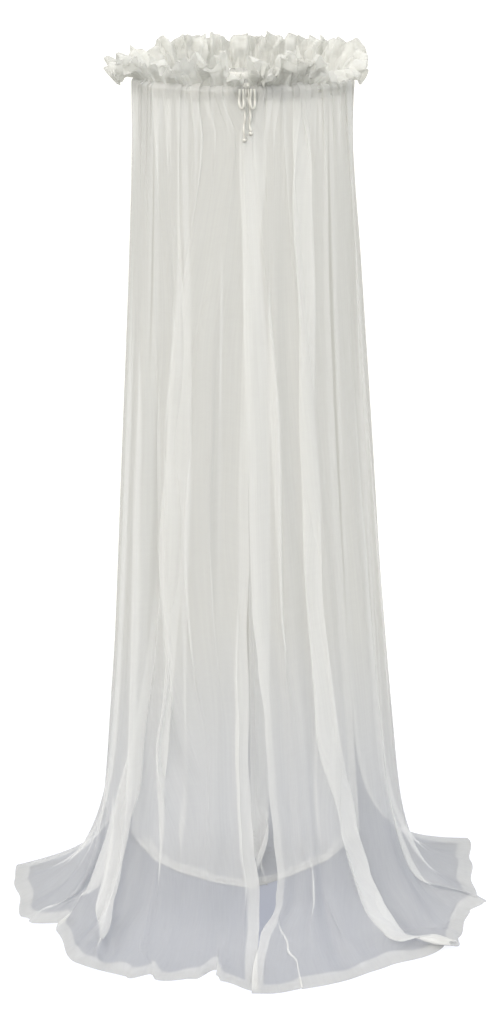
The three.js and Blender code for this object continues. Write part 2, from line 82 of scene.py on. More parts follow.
# %% [markdown]
# ## Helpers for materials
#
# Colours are written as sRGB hex values, because that is how they are picked on a screen, while Blender
# computes in linear light. One function turns one into the other. A second one adds a node, gives it
# its settings and links its inputs. With it, three more do a sum, mix two colours or make a surface, so
# that each material below reads as a short list.

# %% Colour and node helpers


def linear(hex_colour):
    """An sRGB hex colour as linear RGBA."""
    channels = [int(hex_colour[i : i + 2], 16) / 255 for i in (0, 2, 4)]
    return tuple(c / 12.92 if c <= 0.04045 else ((c + 0.055) / 1.055) ** 2.4 for c in channels) + (1.0,)


def add_node(tree, kind, inputs=None, **settings):
    """A new node with its inputs linked to nodes or sockets, or set. A node gives its first output."""
    node = tree.nodes.new(kind)
    for name, value in settings.items():
        setattr(node, name, value)
    for name, value in (inputs or {}).items():
        if isinstance(value, bpy.types.Node):
            value = value.outputs[0]
        if isinstance(value, bpy.types.NodeSocket):
            tree.links.new(value, node.inputs[name])
        else:
            node.inputs[name].default_value = value
    return node


def maths(tree, operation, *values):
    """The result of a node that does one sum."""
    return add_node(tree, "ShaderNodeMath", dict(enumerate(values)), operation=operation)


def mixed(tree, factor, first, second):
    """A colour between two others."""
    inputs = {"Factor": factor, "A": first, "B": second}
    return add_node(tree, "ShaderNodeMix", inputs, data_type="RGBA").outputs["Result"]


def surface(tree, tint, roughness, bump, more=None):
    """A shaded surface with its colour, roughness and bump."""
    inputs = {"Base Color": tint, "Roughness": roughness, "Normal": bump} | (more or {})
    return add_node(tree, "ShaderNodeBsdfPrincipled", inputs)


def new_material(name):
    material = bpy.data.materials.new(name)
    material.use_nodes = True
    material.node_tree.nodes.clear()
    return material, material.node_tree


# %% [markdown]
# ## Cotton voile
#
# Voile is a thin plain weave of hard-twisted yarn, about 25 threads per centimetre. Most of its area is
# holes, so one layer hides little, and two or three layers turn white. That is what draws every fold
# and hem of the veil. The cover of one layer is therefore a plain share of clear against cloth, and the
# folds themselves are real geometry that lies over itself.
#
# Real threads are 0.4 mm apart, too fine to show from here, so the weave is drawn at 1.6 mm. Slubs, the
# thicker stretches of yarn, are long faint streaks that run mostly down the cloth.

# %% Voile, as one layer and as turned hems
THREAD_MM = 1.6
SLUB_MM = (3.0, 90.0)
WEFT_SLUBS = 0.3
LIGHT_THROUGH = 0.35
WAVE_PER_UNIT = 20  # Blender's wave texture makes about this many bands per unit at a scale of 1


def voile(name, colour, shade, cover):
    """Woven cloth that hides a share of what is behind it, and lets some light through."""
    material, tree = new_material(name)
    place = add_node(tree, "ShaderNodeUVMap", uv_map="cloth").outputs["UV"]
    threads = []
    for along in (0, 1):
        scale = [1000 / SLUB_MM[0], 1000 / SLUB_MM[0], 1]
        scale[along] = 1000 / SLUB_MM[1]
        stretched = add_node(tree, "ShaderNodeMapping", {"Vector": place, "Scale": tuple(scale)})
        slub = add_node(tree, "ShaderNodeTexNoise", {"Vector": stretched, "Scale": 1.0, "Detail": 2.0})
        weave = add_node(
            tree,
            "ShaderNodeTexWave",
            {"Vector": place, "Scale": 1000 / THREAD_MM / WAVE_PER_UNIT, "Distortion": 0.6, "Detail": 1.0},
            bands_direction="XY"[along],
        )
        threads += [slub.outputs["Fac"], weave.outputs["Fac"]]
    slubs = maths(tree, "MULTIPLY_ADD", threads[0], WEFT_SLUBS, threads[2])
    weaves = maths(tree, "MAXIMUM", threads[1], threads[3])
    amount = add_node(tree, "ShaderNodeMapRange", {"Value": slubs, "From Min": 0.45, "From Max": 0.85})
    tint = mixed(tree, amount, linear(shade), linear(colour))
    height = maths(tree, "ADD", slubs, weaves)
    bump = add_node(tree, "ShaderNodeBump", {"Height": height, "Strength": 0.15, "Distance": 0.0003})
    cloth = surface(tree, tint, 0.9, bump, {"Specular IOR Level": 0.2, "Sheen Weight": 0.1})
    glow = add_node(tree, "ShaderNodeBsdfTranslucent", {"Color": tint, "Normal": bump})
    clear = add_node(tree, "ShaderNodeBsdfTransparent")
    body = add_node(tree, "ShaderNodeMixShader", {0: LIGHT_THROUGH, 1: cloth, 2: glow})
    veil = add_node(tree, "ShaderNodeMixShader", {0: cover, 1: clear, 2: body})
    add_node(tree, "ShaderNodeOutputMaterial", {"Surface": veil})
    return material


panel_voile = voile("cotton_voile_one_layer", "f1f1ee", "ececea", cover=0.41)
hem_voile = voile("cotton_voile_turned_hem", "eeeeeb", "e6e6e3", cover=0.45)
frill_voile = voile("cotton_voile_frill", "f0f0ec", "e8e8e3", cover=0.42)
casing_voile = voile("cotton_voile_casing", "f1f1ee", "ebebe7", cover=0.4)
print("cloth materials:", [m.name for m in (panel_voile, hem_voile, frill_voile, casing_voile)])

# %% [markdown]
# ## Cord, steel and nylon
#
# The drawcord is soft twisted cotton: three strands laid round each other, whose lay shows as slanting
# ridges about 5 mm apart. The hoop is steel rod with a baked white powder coat, which is satin with a
# faint orange peel. Its two sleeves are injection moulded nylon, a little warmer and duller.

# %% Cord, powder coat and nylon
CORD_LAY_MM, CORD_STRANDS = 5.0, 3
CORD_LAY_TURN = 0.6


def cotton_cord():
    material, tree = new_material("twisted_cotton_cord")
    place = add_node(tree, "ShaderNodeUVMap", uv_map="cloth").outputs["UV"]
    lay = add_node(tree, "ShaderNodeMapping", {"Vector": place, "Rotation": (0, 0, CORD_LAY_TURN)})
    scale = 1000 / CORD_LAY_MM / WAVE_PER_UNIT * CORD_STRANDS
    ridges = add_node(tree, "ShaderNodeTexWave", {"Vector": lay, "Scale": scale})
    lay_height_and_groove_shade = ridges.outputs["Fac"]
    # The grooves between the strands are painted darker than the ridges, a painted shade, besides the bump
    tint = mixed(tree, lay_height_and_groove_shade, linear("c4c3bc"), linear("e3e2db"))
    bump = add_node(tree, "ShaderNodeBump", {"Height": lay_height_and_groove_shade, "Strength": 0.6, "Distance": 0.0006})
    cord = surface(tree, tint, 0.85, bump)
    add_node(tree, "ShaderNodeOutputMaterial", {"Surface": cord})
    return material


def smooth_solid(name, colour, shade, roughness, grain_mm, depth):
    """A coat or a moulding: one colour that drifts a little, and a fine unevenness."""
    material, tree = new_material(name)
    place = add_node(tree, "ShaderNodeTexCoord").outputs["Object"]
    grain = add_node(tree, "ShaderNodeTexNoise", {"Vector": place, "Scale": 1000 / grain_mm, "Detail": 2.0})
    drift = add_node(tree, "ShaderNodeTexNoise", {"Vector": place, "Scale": 40.0})
    tint = mixed(tree, drift.outputs["Fac"], linear(shade), linear(colour))
    bump = add_node(
        tree, "ShaderNodeBump", {"Height": grain.outputs["Fac"], "Strength": 0.3, "Distance": depth}
    )
    solid = surface(tree, tint, roughness, bump)
    add_node(tree, "ShaderNodeOutputMaterial", {"Surface": solid})
    return material


cord_cotton = cotton_cord()
powder_coat = smooth_solid("powder_coated_steel", "f4f4f2", "eaeae8", 0.38, 1.2, 0.0002)
moulded_nylon = smooth_solid("moulded_nylon", "efeeea", "e4e3de", 0.5, 0.6, 0.0001)

# %% [markdown]
# ## Helpers for shapes
#
# Cloth is easiest to make as a grid of points: one direction runs across the drop, the other down it.
# Each grid also gets a UV map in real metres of cloth, so that the weave has one scale everywhere. Tables
# of a few rows, read with a soft step between them, place the things that were judged.

# %% Grid and table helpers


def soft_step(t):
    c = np.clip(t, 0, 1)
    return c * c * (3 - 2 * c)


def read(rows, place, column=1):
    """The value in a column of a table, eased between rows, at a place in its first column."""
    rows = np.array(rows, float)
    place = np.asarray(place, float)
    i = np.clip(np.searchsorted(rows[:, 0], place) - 1, 0, len(rows) - 2)
    t = (place - rows[i, 0]) / (rows[i + 1, 0] - rows[i, 0])
    return rows[i, column] + (rows[i + 1, column] - rows[i, column]) * soft_step(t)


def around(radius, degrees, height):
    """Points at a radius and an angle round the hoop's axis, as an array with x, y and z last."""
    a = np.radians(degrees)
    return np.stack(np.broadcast_arrays(radius * np.cos(a), radius * np.sin(a), height), -1)


def turned(points, degrees):
    """Points turned round the hoop's axis."""
    c, s = math.cos(math.radians(degrees)), math.sin(math.radians(degrees))
    x, y = points[..., 0], points[..., 1]
    return np.stack([x * c - y * s, x * s + y * c, points[..., 2]], -1)


def area_of(piece):
    return sum(face.area for face in piece.data.polygons)


def grid_piece(name, points, material, cloth_size, is_tube=False):
    """An object from a grid of points. is_tube joins the last column to the first."""
    rows, columns = points.shape[:2]
    ids = np.arange(rows * columns).reshape(rows, columns)
    if is_tube:
        ids = np.concatenate([ids, ids[:, :1]], 1)
    quads = np.stack([ids[:-1, :-1], ids[1:, :-1], ids[1:, 1:], ids[:-1, 1:]], -1).reshape(-1, 4)
    mesh = bpy.data.meshes.new(name)
    mesh.from_pydata(points.reshape(-1, 3).tolist(), [], quads.tolist())
    down, across = (np.linspace(0, 1, count) for count in ids.shape)
    down, across = np.meshgrid(down, across, indexing="ij")
    place = np.stack([across * cloth_size[0], down * cloth_size[1]], -1)
    corners = np.stack([place[:-1, :-1], place[1:, :-1], place[1:, 1:], place[:-1, 1:]], 2)
    layer = mesh.uv_layers.new(name="cloth")
    layer.data.foreach_set("uv", corners.astype(np.float32).ravel())
    mesh.polygons.foreach_set("use_smooth", [True] * len(mesh.polygons))
    mesh.materials.append(material)
    piece = bpy.data.objects.new(name, mesh)
    bpy.context.collection.objects.link(piece)
    return piece


def directions(points):
    """Unit vectors across a grid and outwards from it, at each of its points."""
    across = np.gradient(points, axis=1)
    down = np.gradient(points, axis=0)
    out = np.cross(down, across)
    across /= np.linalg.norm(across, axis=-1, keepdims=True) + 1e-12
    out /= np.linalg.norm(out, axis=-1, keepdims=True) + 1e-12
    return across, out


# %% [markdown]
# ## The three drops
#
# The veil is three separate drops of cloth: a left curtain, a right curtain and a back drape. Each one
# hangs as a cone from the hoop to the floor and runs out along it to its hem. The lines that the threads
# take are worked out first, one per column, with no folds in them: an angle that moves from the casing to
# the foot, a radius that grows on the way down, and a soft landing where the cloth meets the floor. The
# front edges of the two curtains cross at the top and part lower down, which leaves a slit between them.

# %% Sizes of the drops
DROP = 0 - FLOOR
CLOTH_WIDTH = 0.7
SIDE_HEM, BOTTOM_HEM = 0.018, 0.028
CASING_CENTRE, CASING_HALF_WIDTH, CASING_HALF_HEIGHT = 0.1616, 0.0091, 0.0102
PANEL_TOP, PANEL_TOP_RADIUS, SHOULDER = 0.0113, 0.1725, 0.0105
FOOT_RADIUS, RIGHT_SPREAD, FLARE = 0.240, 0.030, 1.3
HEM_REACH = 0.390
FRONT_BEND, SIDE_BEND, BACK_BEND = 0.030, 0.080, 0.034
SEAM_DEG = 272.6
FLOOR_SHARE = 0.6
BACK_INSIDE = -0.008
# Over how much of the drop an edge swings, and a lap or the back drape's inset comes in
EDGE_SWING, LAP_FADE, BACK_FADE = 0.3, 0.03, 0.3
COLUMNS = 720

# The hem's outline on the floor: degrees round the hoop, share of the reach
LEFT_HEM = [
    (168, 1.06), (178, 1.035), (188, 1.0), (197, 1.02), (203, 0.985), (207, 0.88), (212, 0.93), (226, 1.01),
    (242, 0.98), (245.6, 0.92), (249, 0.95), (257.5, 0.9), (261.5, 0.82), (265.5, 0.92), (274.1, 0.99),
]
RIGHT_HEM = [
    (272.2, 1), (290, 0.985), (309, 0.98), (321, 1.04), (327, 1.085), (332, 1.06), (341, 1.03),
    (345.5, 1.035), (350, 1.085), (354.5, 1.05), (362, 1.035), (373, 1.08), (385, 1.17),
]
# The back drape's hem, which lies in a U under the veil: width share, then x and y as shares of the reach
BACK_HEM = [
    (0, 0.56, 0.6), (0.08, 0.5, 0.44), (0.18, 0.404, 0.267), (0.3, 0.232, 0.11), (0.41, 0.12, 0.03),
    (0.5, 0.03, -0.02), (0.59, -0.13, 0.04), (0.71, -0.3, 0.145), (0.83, -0.42, 0.265), (0.92, -0.5, 0.44),
    (1, -0.56, 0.62),
]
# The way down of each front edge: depth share, degrees
LEFT_EDGE = [
    (0, 271), (0.06, 283.5), (0.17, 279.6), (0.3, 275.4), (0.45, 274), (0.6, 274.8), (0.65, 274.8),
    (0.7, 274.2), (0.76, 273.3), (0.82, 274.2), (0.87, 275.3), (0.925, 277.6), (0.96, 277.2), (1, 275.6),
]
RIGHT_EDGE = [
    (0, 274.2), (0.06, 268.6), (0.2, 270.6), (0.45, 273.2), (0.58, 274.2), (0.65, 276.8), (0.72, 279.6),
    (0.8, 281), (0.86, 282.8), (0.91, 284.3), (0.94, 283.3), (0.975, 277), (1, 274),
]

# Each drop's angles at the casing, the foot and the hem, how evenly it is gathered, its front edge, with the
# side it is on, its way down and its lap, and the depth and phase of its soft waves
drops = {
    "left": dict(
        casing=(146.2, 271.0), foot=(146, 275.6), hem=(169, 274.1), hem_table=LEFT_HEM,
        gather=((0, 0), (1, 1)), edge=(1, LEFT_EDGE, -0.0035), wave=0.006, phase=0.2,
    ),
    "right": dict(
        casing=(274.2, 395.8), foot=(274, 395), hem=(272.2, 385), hem_table=RIGHT_HEM,
        gather=((0, 0), (0.47, 0.28), (1, 1)), edge=(0, RIGHT_EDGE, 0.0035), wave=0.006, phase=0.15,
    ),
    "back": dict(
        casing=(36.2, 145.8), foot=(31, 148), hem=None,
        gather=((0, 0), (1, 1)), edge=None, wave=0.010, phase=0.4,
    ),
}

# %% Threads without folds


def top_angle(drop, u):
    """Where a column of the drop meets the casing, in degrees."""
    gathered = np.array(drop["gather"], float)
    start, end = drop["casing"]
    return start + (end - start) * np.interp(u, gathered[:, 0], gathered[:, 1])


def threads(drop, u):
    """Down each column u: places, angle, how far along the floor run, depth and length walked."""
    u = np.asarray(u, float)[:, None]
    top = top_angle(drop, u)
    foot = drop["foot"][0] + (drop["foot"][1] - drop["foot"][0]) * u
    side = np.cos(np.radians(foot))
    if drop["hem"]:
        bend = FRONT_BEND + (SIDE_BEND - FRONT_BEND) * side**2
        hem = drop["hem"][0] + (drop["hem"][1] - drop["hem"][0]) * u
        hem_place = around(HEM_REACH * read(drop["hem_table"], hem), hem, 0)
    else:
        bend = BACK_BEND + 0 * u
        hem_place = HEM_REACH * np.stack([read(BACK_HEM, u, 1), read(BACK_HEM, u, 2), 0 * u], -1)
    reach = FOOT_RADIUS + RIGHT_SPREAD * np.maximum(0, side) ** 2
    run = hem_place - around(reach, foot, 0)
    height = DROP + PANEL_TOP
    # the steps are closer together at the top, where the cloth bends over the casing, and at the floor
    steps = np.concatenate([np.linspace(0, 0.011, 12), np.linspace(0.014, 1, 90) ** 0.8])
    steps = (1 - (1 - steps) ** 2)[None, :] * 0.5 + steps[None, :] * 0.5
    # a thread runs down, bends softly at x = 0 onto the floor and runs out along it
    x = height / bend + (1 - 1 / FLOOR_SHARE - height / bend) * steps
    h = np.minimum(bend * np.log1p(np.exp(4 * x)) / 4, height)
    on_floor = np.where(x > 0, FLOOR_SHARE * np.exp(-np.maximum(x, 0)), FLOOR_SHARE * (1 - x))
    depth = 1 - h / height
    angle = top + (foot - top) * soft_step(depth)
    if drop["edge"]:
        at, table, side_lap = drop["edge"]
        swing = soft_step(1 - np.abs(u - at) / EDGE_SWING)
        plain = drop["casing"][at] + (drop["foot"][at] - drop["casing"][at]) * soft_step(depth)
        angle = angle + swing * (read(table, depth) - plain)
        lap = swing * side_lap * soft_step(depth / LAP_FADE)
    else:
        lap = BACK_INSIDE * soft_step(depth / BACK_FADE)
    over_casing = SHOULDER * np.clip((h + FLOOR) / PANEL_TOP, 0, 1) ** 4
    radius = PANEL_TOP_RADIUS + (reach - PANEL_TOP_RADIUS) * depth**FLARE + lap - over_casing
    line = around(radius, angle, h + FLOOR) + run * on_floor[..., None]
    walked = np.cumsum(np.linalg.norm(np.diff(line, axis=1, prepend=line[:, :1]), axis=-1), 1)
    return line, angle, on_floor, depth, walked


def plain_cloth(drop, u, v):
    """The drop without folds as rows v by columns u, its angle, floor run and depth, and its lengths."""
    line, angle, on_floor, depth, walked = threads(drop, u)
    sheets = [line[..., 0], line[..., 1], line[..., 2], angle, on_floor, depth]
    grid = np.empty((len(v), len(u), len(sheets)))
    for i in range(len(u)):
        for k, sheet in enumerate(sheets):
            grid[:, i, k] = np.interp(v * walked[i, -1], walked[i], sheet[i])
    return grid, walked[:, -1]


# %% [markdown]
# ## Folds
#
# A pleat moves the cloth sideways as well as outwards. In a **flat pleat** the cloth on both sides is
# drawn over the middle, so three layers lie there instead of one. On sheer cloth that is the whole look of
# a fold: a light band with two crisp edges. A round fold is the same with its middle swollen outwards.
#
# Gathers are small flat pleats that start at the casing, where 0.7 m of cloth is drawn up on about 0.33 m
# of hoop. Most of them open out within a hand's length. The same gathers run through the panel, the
# casing and the frill, because they are one piece of cloth with two rows of stitches in it.

# %% Pleats and gathers


def pleat_shape(s):
    """Sideways and middle part of a pleat at a distance s from its centre, each 1 at most."""
    return s * np.exp(0.5 - s**2 / 2), np.exp(-(s**2) / 2)


# A pleat that lies on the floor keeps less of its lift, and rests on a low wide rise of its own
LYING_LOSS, LYING_RISE, RISE_SPREAD = 0.4, 1.1, 5


def flat_pleat(s, lap, lift, swell=0.0, lying=0.0):
    """How far a flat pleat moves the cloth sideways and outwards. Lying cloth is lifted off the floor."""
    side, middle = pleat_shape(s)
    rise = LYING_RISE * lying * np.exp(-(s**2) / RISE_SPREAD)
    over = lift * (side * (1 - LYING_LOSS * lying) + rise)
    return -lap * side, over + swell * middle


GATHER_LAP, GATHER_LIFT, GATHER_DRIFT, GATHER_OPENS = 0.0088, 0.0030, 0.03, 3
# Gathers, then fine puckers: how many per drop, half width and size from and to, length share from and to
GATHER_KINDS = [(24, 0.007, 0.0125, 0.6, 1.25, 0.045, 0.13), (52, 0.003, 0.005, 0.16, 0.34, 0.012, 0.05)]
# Over this share of its width a drop loses its gathers at either edge
EDGE_KEPT = 0.02


def gathers_of(side):
    """Place, half width, size, direction, length share and drift of each gather and pucker of a drop."""
    rng = np.random.default_rng(len(side) * 11)
    rows = []
    for count, thin, wide, small, large, short, long in GATHER_KINDS:
        for k in range(count):
            place = (k + 0.5 + rng.uniform(-0.3, 0.3)) / count
            # a few of them reach up to three times as far down
            reach = rng.uniform(short, long) * (1 + 2 * rng.random() ** 4)
            facing = rng.choice([-1, 1])
            half, size, drift = rng.uniform(thin, wide), rng.uniform(small, large), rng.uniform(-1, 1)
            rows.append((place, half, size, facing, reach, drift))
    return rows


def near_edge(u):
    return soft_step(np.minimum(u, 1 - u) / EDGE_KEPT)


def gather(side, u, v):
    """Sideways and outward shift of all the gathers at width shares u and length shares v."""
    aside, out = 0, 0
    for place, half, size, facing, reach, drift in gathers_of(side):
        fade = np.exp(-((v / reach) ** 1.4))
        s = facing * (u - place - GATHER_DRIFT * drift * v) / (half * (1 + GATHER_OPENS * v))
        a, o = flat_pleat(s, GATHER_LAP * size * fade, GATHER_LIFT * size * fade**1.6)
        aside, out = aside + facing * a, out + o
    return aside, out


# %% [markdown]
# ## The folds that show
#
# The folds that the eye follows are placed one by one: where each lies across its drop on the way down, as
# shares of length and width, how wide it is, and how far the cloth laps. On the floor the lap grows small
# again, and what is left of a fold makes a ridge in the lying cloth and a notch in the hem.

# %% Named folds
# Each fold: where it lies on the way down, its half width (one number or a table), its lap on the way down,
# how far the lap lifts, how far the middle swells, and the side that its upper edge faces
LEFT_FOLDS = [
    # The wide fold left of the middle, which ends in a notch of the hem
    ([(0, 0.72), (0.3, 0.735), (0.6, 0.735), (0.78, 0.712), (0.9, 0.694), (0.95, 0.702), (1, 0.738)],
     [(0.6, 0.088), (0.85, 0.028), (1, 0.014)],
     [(0, 0), (0.04, 0.002), (0.35, 0.058), (0.5, 0.074), (0.7, 0.05), (0.85, 0.018), (1, 0.008)],
     0.004, 0.001, 1),
    # The long fold beside it
    ([(0.5, 0.56), (0.75, 0.55), (0.84, 0.525), (0.9, 0.53), (0.96, 0.56), (1, 0.58)],
     0.07, [(0.2, 0), (0.4, 0.04), (0.6, 0.054), (0.84, 0.06), (0.92, 0.06), (0.97, 0.028), (1, 0.012)],
     0.003, 0.001, 1),
    # A round fold that spreads to the left
    ([(0, 0.24), (0.6, 0.278), (0.77, 0.36), (0.88, 0.38), (0.93, 0.38), (1, 0.3)],
     0.04, [(0, 0), (0.6, 0.002), (0.78, 0.015), (0.9, 0.032), (0.97, 0.02), (1, 0.012)],
     0.006, 0.014, 1),
    # A soft fold near the foot
    ([(0.7, 0.85), (0.8, 0.845), (1, 0.85)],
     0.034, [(0.66, 0), (0.8, 0.011), (0.9, 0.006), (0.94, 0)],
     0.001, 0.006, 1),
    # A narrow fold along the leading hem
    ([(0, 0.97), (0.55, 0.968), (0.65, 0.958), (0.9, 0.955)],
     0.018, [(0.48, 0), (0.6, 0.013), (0.84, 0.012), (0.93, 0.006), (1, 0.004)],
     0.002, 0.002, -1),
    # A fold near the rear edge
    ([(0.6, 0.12), (1, 0.14)],
     0.03, [(0, 0), (0.4, 0.018), (0.85, 0.02), (1, 0.004)],
     0.004, 0, 1),
    # Two small folds at notches of the hem
    ([(0, 0.385), (1, 0.385)],
     0.014, [(0.93, 0), (0.97, 0.01), (1, 0.014)],
     0.004, 0.006, 1),
    ([(0, 0.9), (1, 0.9)],
     0.014, [(0.95, 0), (0.98, 0.006), (1, 0.009)],
     0.002, 0.004, 1),
]
RIGHT_FOLDS = [
    # The long fold that runs out along the floor
    ([(0, 0.367), (0.18, 0.343), (0.39, 0.307), (0.55, 0.28), (0.69, 0.29), (0.82, 0.33),
      (0.88, 0.35), (0.92, 0.365), (0.955, 0.39), (1, 0.47)],
     0.03, [(0, 0.01), (0.1, 0.022), (0.55, 0.026), (0.8, 0.036), (0.95, 0.042), (1, 0.036)],
     0.006, 0.012, 1),
    # The valley beside it
    ([(0, 0.42), (0.7, 0.36), (0.82, 0.4), (0.92, 0.44), (1, 0.56)],
     0.036, [(0.7, 0), (0.84, 0.012), (0.95, 0.012), (1, 0.004)],
     0.0, -0.026, 1),
    # A fold beside the leading edge
    ([(0.3, 0.14), (0.7, 0.12)],
     0.036, [(0.08, 0), (0.35, 0.018), (0.55, 0.012), (0.75, 0)],
     0.001, 0, -1),
    # A wide fold at the side
    ([(0, 0.7), (0.6, 0.66), (0.85, 0.64), (1, 0.62)],
     0.05, [(0, 0.004), (0.2, 0.03), (0.7, 0.036), (0.9, 0.02), (1, 0.006)],
     0.005, 0, 1),
    # A soft fold near the foot
    ([(0, 0.17), (0.85, 0.165), (1, 0.16)],
     0.022, [(0.8, 0), (0.88, 0.009), (0.94, 0.006), (1, 0)],
     0.001, 0.007, 1),
    # The corner that turns in at the front
    ([(0.88, 0.03), (0.93, 0.088), (0.96, 0.11), (1, 0.108)],
     0.02, [(0.86, 0), (0.91, 0.009), (0.95, 0.013), (1, 0.012)],
     0.0015, 0.002, -1),
    # The crease to the right tip of the hem
    ([(0.8, 0.62), (0.9, 0.64), (1, 0.69)],
     0.014, [(0.78, 0), (0.9, 0.011), (0.97, 0.011), (1, 0.007)],
     0.003, 0.006, 1),
    # A fold near the rear edge
    ([(0, 0.9), (0.6, 0.88), (1, 0.86)],
     0.03, [(0, 0.002), (0.4, 0.018), (0.9, 0.016), (1, 0.002)],
     0.004, 0, -1),
    # A rise where the cloth lands
    ([(0.85, 0.24), (1, 0.27)],
     0.03, [(0.86, 0), (0.93, 0.01), (1, 0.004)],
     0.0, 0.009, 1),
]
BACK_FOLDS = [
    ([(0, 0.14), (0.6, 0.16), (1, 0.2)],
     0.04, [(0.3, 0), (0.6, 0.024), (0.9, 0.02), (1, 0.004)],
     0.003, 0, 1),
    ([(0, 0.27), (0.6, 0.28), (1, 0.3)],
     0.03, [(0, 0.004), (0.5, 0.022), (0.9, 0.018), (1, 0.003)],
     0.005, 0, -1),
    # The wide fold behind the slit
    ([(0, 0.46), (0.4, 0.43), (1, 0.44)],
     0.07, [(0, 0.002), (0.08, 0.03), (0.4, 0.046), (0.9, 0.046), (1, 0.01)],
     0.004, 0, 1),
    ([(0.6, 0.62), (1, 0.6)],
     0.03, [(0, 0.002), (0.3, 0.018), (0.9, 0.02), (1, 0.003)],
     0.005, 0, -1),
    ([(0, 0.79), (0.6, 0.77), (1, 0.74)],
     0.04, [(0, 0.004), (0.5, 0.028), (0.9, 0.022), (1, 0.004)],
     0.005, 0, -1),
]
NAMED_FOLDS = {"left": LEFT_FOLDS, "right": RIGHT_FOLDS, "back": BACK_FOLDS}

# %% Cloth with its folds
FLOOR_WAVE, LEADING_RISE, LEADING_SHARE = 0.006, 0.003, 0.06
WAVES, WAVE_DRIFT, WAVE_FULL = 5.5, 0.05, 0.5
EDGE_FLAT = 0.14
FLOOR_GAP, HEM_INSIDE = 0.0009, 0.0007


def folded_cloth(side, u, v):
    """Points of a drop, rows v by columns u, and the mean length of its threads."""
    drop = drops[side]
    grid, lengths = plain_cloth(drop, u, v)
    points, angle, on_floor, depth = grid[..., :3].copy(), grid[..., 3], grid[..., 4], grid[..., 5]
    floor = np.clip(on_floor, 0, 1)
    edge_fade = 1.0
    if drop["edge"]:
        edge_fade = soft_step(np.abs(u - drop["edge"][0]) / EDGE_FLAT)
    turn = 2 * np.pi * (WAVES * u + drop["phase"] + WAVE_DRIFT * np.sin(9 * u))
    wave = 0.75 * np.cos(turn) + 0.25 * np.cos(2.3 * turn + 1)
    out = drop["wave"] * wave * soft_step(depth / WAVE_FULL) * edge_fade * (1 - floor) ** 2
    rise = FLOOR_WAVE * (1 + wave) * edge_fade * 4 * floor * (1 - floor)
    if side == "right":
        rise = rise + LEADING_RISE * floor * (1 - soft_step(u / LEADING_SHARE))
    points += around(out, angle, rise)
    across, outwards = directions(points)
    v_grid = np.repeat(v[:, None], len(u), 1)
    aside, out = gather(side, u[None, :], v_grid)
    aside, out = aside * near_edge(u), out * near_edge(u)
    for where, half, lap_rows, lift, swell, facing in NAMED_FOLDS[side]:
        lap = read(lap_rows, v_grid)
        if isinstance(half, list):
            half = read(half, v_grid)
        # the lift and the swell fall off faster than the lap
        strength = (lap / max(row[1] for row in lap_rows)) ** 1.5
        s = facing * (u[None, :] - read(where, v_grid)) / half
        a, o = flat_pleat(s, lap, lift * strength, swell * strength, floor)
        aside, out = aside + facing * a, out + o
    points += across * aside[..., None] + outwards * out[..., None]
    points[..., 2] = np.maximum(points[..., 2], FLOOR + FLOOR_GAP)
    return points, float(lengths.mean())


def inside_of(points):
    """The same grid, a little further in, and never under the floor."""
    moved = points - directions(points)[1] * HEM_INSIDE
    moved[..., 2] = np.maximum(moved[..., 2], FLOOR + FLOOR_GAP - HEM_INSIDE)
    return moved


# %% [markdown]
# ## Panels and hems
#
# A hem is the edge of the cloth, turned over twice and sewn, so it lies on the inside of the panel as a
# narrow band and looks whiter than the rest. The bands are cut from the same folded surface as the panel,
# so they follow every fold, and the panel itself runs on to the edge of the cloth. At its top the panel
# bends in over the casing's shoulder and ends at the foot of the frill, so no seam shows there.

# %% Panels with their hems
u_all = np.linspace(0, 1, COLUMNS + 1)
# The rows are closest together over the casing's shoulder, then at the gathers and on the floor
v_all = np.concatenate([
    np.linspace(0, 0.011, 12, endpoint=False),
    np.linspace(0.011, 0.12, 32, endpoint=False),
    np.linspace(0.12, 0.8, 50, endpoint=False),
    np.linspace(0.8, 1, 71),
])
panels, side_hems, bottom_hems = {}, {}, {}
hem_names = {"left": ("rear", "leading"), "right": ("leading", "rear"), "back": ("right", "left")}
panel_nodes = {"left": "left_curtain", "right": "right_curtain", "back": "back_drape"}

for side in drops:
    points, length = folded_cloth(side, u_all, v_all)
    panels[side] = grid_piece(f"{panel_nodes[side]}_cloth", points, panel_voile, (CLOTH_WIDTH, length))
    band = int(math.ceil(SIDE_HEM / CLOTH_WIDTH * COLUMNS))
    down = int(np.searchsorted(v_all, 1 - BOTTOM_HEM / length))
    strips = inside_of(points)
    for name, cut in zip(hem_names[side], (slice(0, band + 1), slice(-band - 1, None))):
        node = f"{side}_{name}_hem"
        side_hems[node] = grid_piece(f"{node}_band", strips[: down + 1, cut], hem_voile, (SIDE_HEM, length))
    node = f"{side}_bottom_hem"
    bottom_hems[side] = grid_piece(f"{node}_band", strips[down:], hem_voile, (CLOTH_WIDTH, BOTTOM_HEM))
    print(f"{side} drop: threads {length:.3f} m long, {area_of(panels[side]):.2f} m2 of cloth")

# %% [markdown]
# ## Casings
#
# The casing is the channel that the hoop runs through. It is one strip of cloth bent into a channel, whose
# two long edges meet underneath, where the real one has its row of stitches. Its gathers are those of the
# panel, which hangs from its outer face, and fine puckers lie between them.

# %% Casings
PUCKER, SLACK = 0.0003, 0.0012
CREASES, SLACK_WAVES = 61, 7
CASING_GIRTH, CASING_FLAT = 0.062, 0.060
# How square the channel is, sideways and upwards (1 is an ellipse), and the share of a gather at its top
SQUARE_SIDE, SQUARE_UP, GATHER_TOP = 0.6, 0.8, 0.55


def round_strip(drop, u, turn):
    """The casing's channel without gathers: turn goes round it, from underneath over the inner side."""
    c, s = np.cos(turn), np.sin(turn)
    width = CASING_HALF_WIDTH * np.sign(c) * np.abs(c) ** SQUARE_SIDE
    height = CASING_HALF_HEIGHT * np.sign(s) * np.abs(s) ** SQUARE_UP
    return around(CASING_CENTRE + width, top_angle(drop, u), height)


